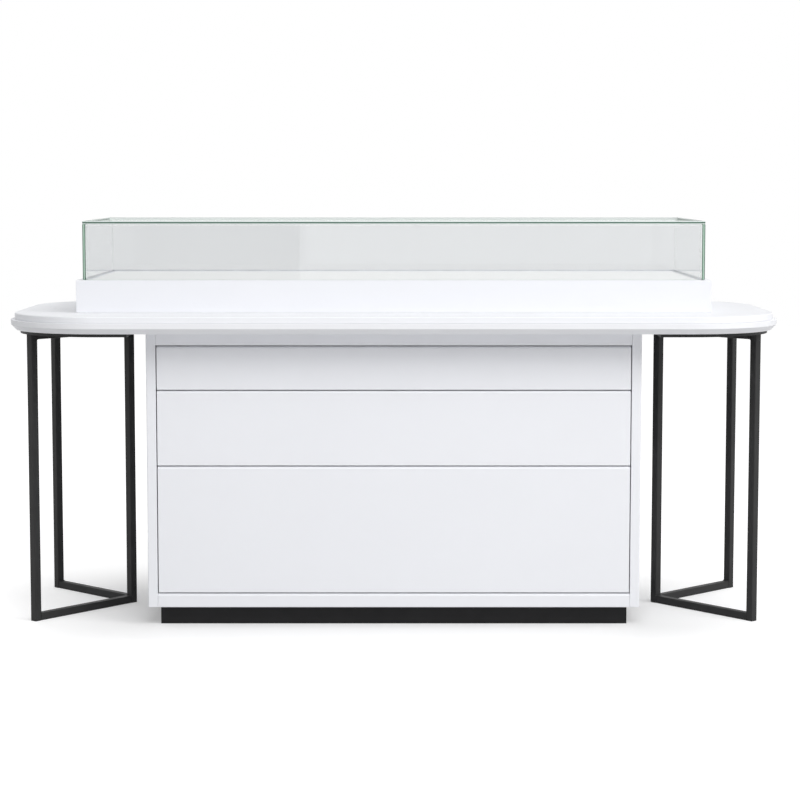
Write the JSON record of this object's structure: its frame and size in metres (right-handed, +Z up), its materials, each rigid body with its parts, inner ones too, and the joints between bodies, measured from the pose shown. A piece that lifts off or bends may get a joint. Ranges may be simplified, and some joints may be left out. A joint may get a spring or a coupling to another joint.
{
  "type": "display counter",
  "caption": "White shop display counter: round-cornered table top on a drawer cabinet and black steel V leg frames, carrying a low glass showcase with a glass-fronted pull-out tray.",
  "frame": {"origin": "on the floor, under the middle of the table top", "axes": "+X along the table top to the right as seen from the drawers, +Y from the drawers to the customer's side, +Z up"},
  "size_m": [2, 0.82, 1.0423],
  "materials": {
    "white_lacquer": "satin white lacquer on board",
    "white_board": "matt white melamine-faced board",
    "black_plinth": "matt black laminate on board",
    "black_steel": "satin black powder coat on square steel tube",
    "slide_steel": "zinc-plated rolled sheet steel of the slides and the glazing strip",
    "clear_glass": "clear float glass with polished green edges"
  },
  "bodies": {
    "counter": {"plinth_frame": "black_plinth", "side_panel_left": "white_lacquer", "side_panel_right": "white_lacquer", "bottom_panel": "white_lacquer", "top_panel": "white_lacquer", "back_panel": "white_lacquer", "table_lower_slab": "white_lacquer", "table_upper_slab": "white_lacquer", "top_drawer_slide_left_fixed": "slide_steel", "top_drawer_slide_right_fixed": "slide_steel", "middle_drawer_slide_left_fixed": "slide_steel", "middle_drawer_slide_right_fixed": "slide_steel", "tall_drawer_slide_left_fixed": "slide_steel", "tall_drawer_slide_right_fixed": "slide_steel", "left_front_leg": "black_steel", "left_inner_leg": "black_steel", "left_back_leg": "black_steel", "left_front_foot_rail": "black_steel", "left_back_foot_rail": "black_steel", "left_front_top_rail": "black_steel", "left_back_top_rail": "black_steel", "left_top_plate": "black_steel", "right_front_leg": "black_steel", "right_inner_leg": "black_steel", "right_back_leg": "black_steel", "right_front_foot_rail": "black_steel", "right_back_foot_rail": "black_steel", "right_front_top_rail": "black_steel", "right_back_top_rail": "black_steel", "right_top_plate": "black_steel", "case_base_left": "white_lacquer", "case_base_right": "white_lacquer", "case_base_back": "white_lacquer", "glass_left": "clear_glass", "glass_right": "clear_glass", "glass_rear": "clear_glass", "glass_top": "clear_glass", "glazing_strip": "slide_steel", "tray_slide_left_fixed": "slide_steel", "tray_slide_right_fixed": "slide_steel"},
    "top_drawer": {"top_drawer_front": "white_lacquer", "top_drawer_box": "white_board", "top_drawer_slide_left_moving": "slide_steel", "top_drawer_slide_right_moving": "slide_steel"},
    "middle_drawer": {"middle_drawer_front": "white_lacquer", "middle_drawer_box": "white_board", "middle_drawer_slide_left_moving": "slide_steel", "middle_drawer_slide_right_moving": "slide_steel"},
    "tall_drawer": {"tall_drawer_front": "white_lacquer", "tall_drawer_box": "white_board", "tall_drawer_slide_left_moving": "slide_steel", "tall_drawer_slide_right_moving": "slide_steel"},
    "tray": {"tray_fascia": "white_lacquer", "tray_deck": "white_lacquer", "tray_side_left": "white_board", "tray_side_right": "white_board", "glass_front": "clear_glass", "tray_slide_left_moving": "slide_steel", "tray_slide_right_moving": "slide_steel"}
  },
  "joints": [
    {"name": "top_drawer_slide", "type": "slide", "parent": "counter", "child": "top_drawer", "axis": [0, -1, 0], "range_m": [0, 0.39]},
    {"name": "middle_drawer_slide", "type": "slide", "parent": "counter", "child": "middle_drawer", "axis": [0, -1, 0], "range_m": [0, 0.39]},
    {"name": "tall_drawer_slide", "type": "slide", "parent": "counter", "child": "tall_drawer", "axis": [0, -1, 0], "range_m": [0, 0.39]},
    {"name": "tray_slide", "type": "slide", "parent": "counter", "child": "tray", "axis": [0, -1, 0], "range_m": [0, 0.37]}
  ]
}
